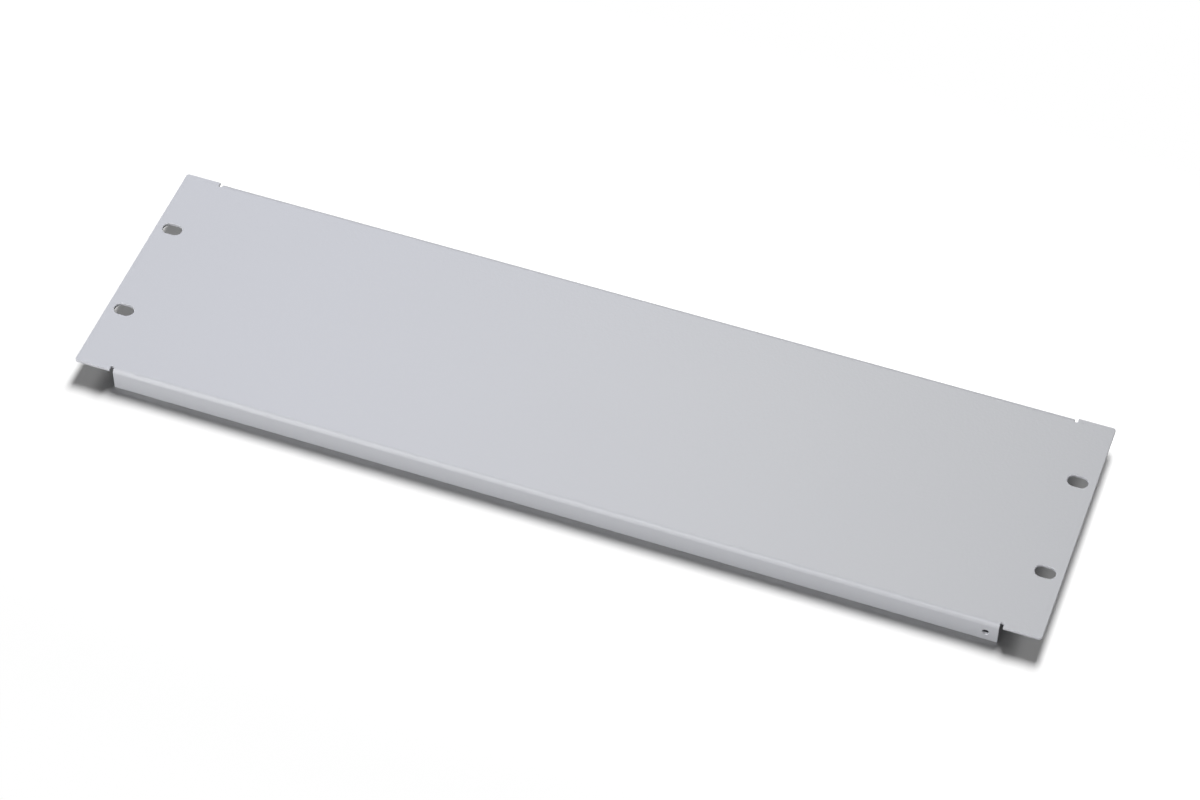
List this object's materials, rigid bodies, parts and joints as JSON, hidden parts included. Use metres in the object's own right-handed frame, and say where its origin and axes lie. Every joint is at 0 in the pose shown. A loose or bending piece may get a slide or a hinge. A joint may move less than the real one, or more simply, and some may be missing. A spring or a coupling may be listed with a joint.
{
  "type": "rack blanking panel",
  "caption": "Light grey sheet-steel rack blanking panel: flat front, flanges folded back along both long edges, oblong mounting slots in the ears at each end.",
  "frame": {"origin": "middle of the four mounting slots, on the back of the ears", "axes": "+X along the panel's width, +Y towards the top of the rack, +Z out of the front face; the panel lies face up on the free edges of its flanges"},
  "size_m": [0.4826, 0.1326, 0.0124],
  "materials": {
    "powder_coat": "light grey satin powder coat with a very fine texture"
  },
  "bodies": {
    "root": {"blanking_panel": "powder_coat"}
  },
  "joints": []
}
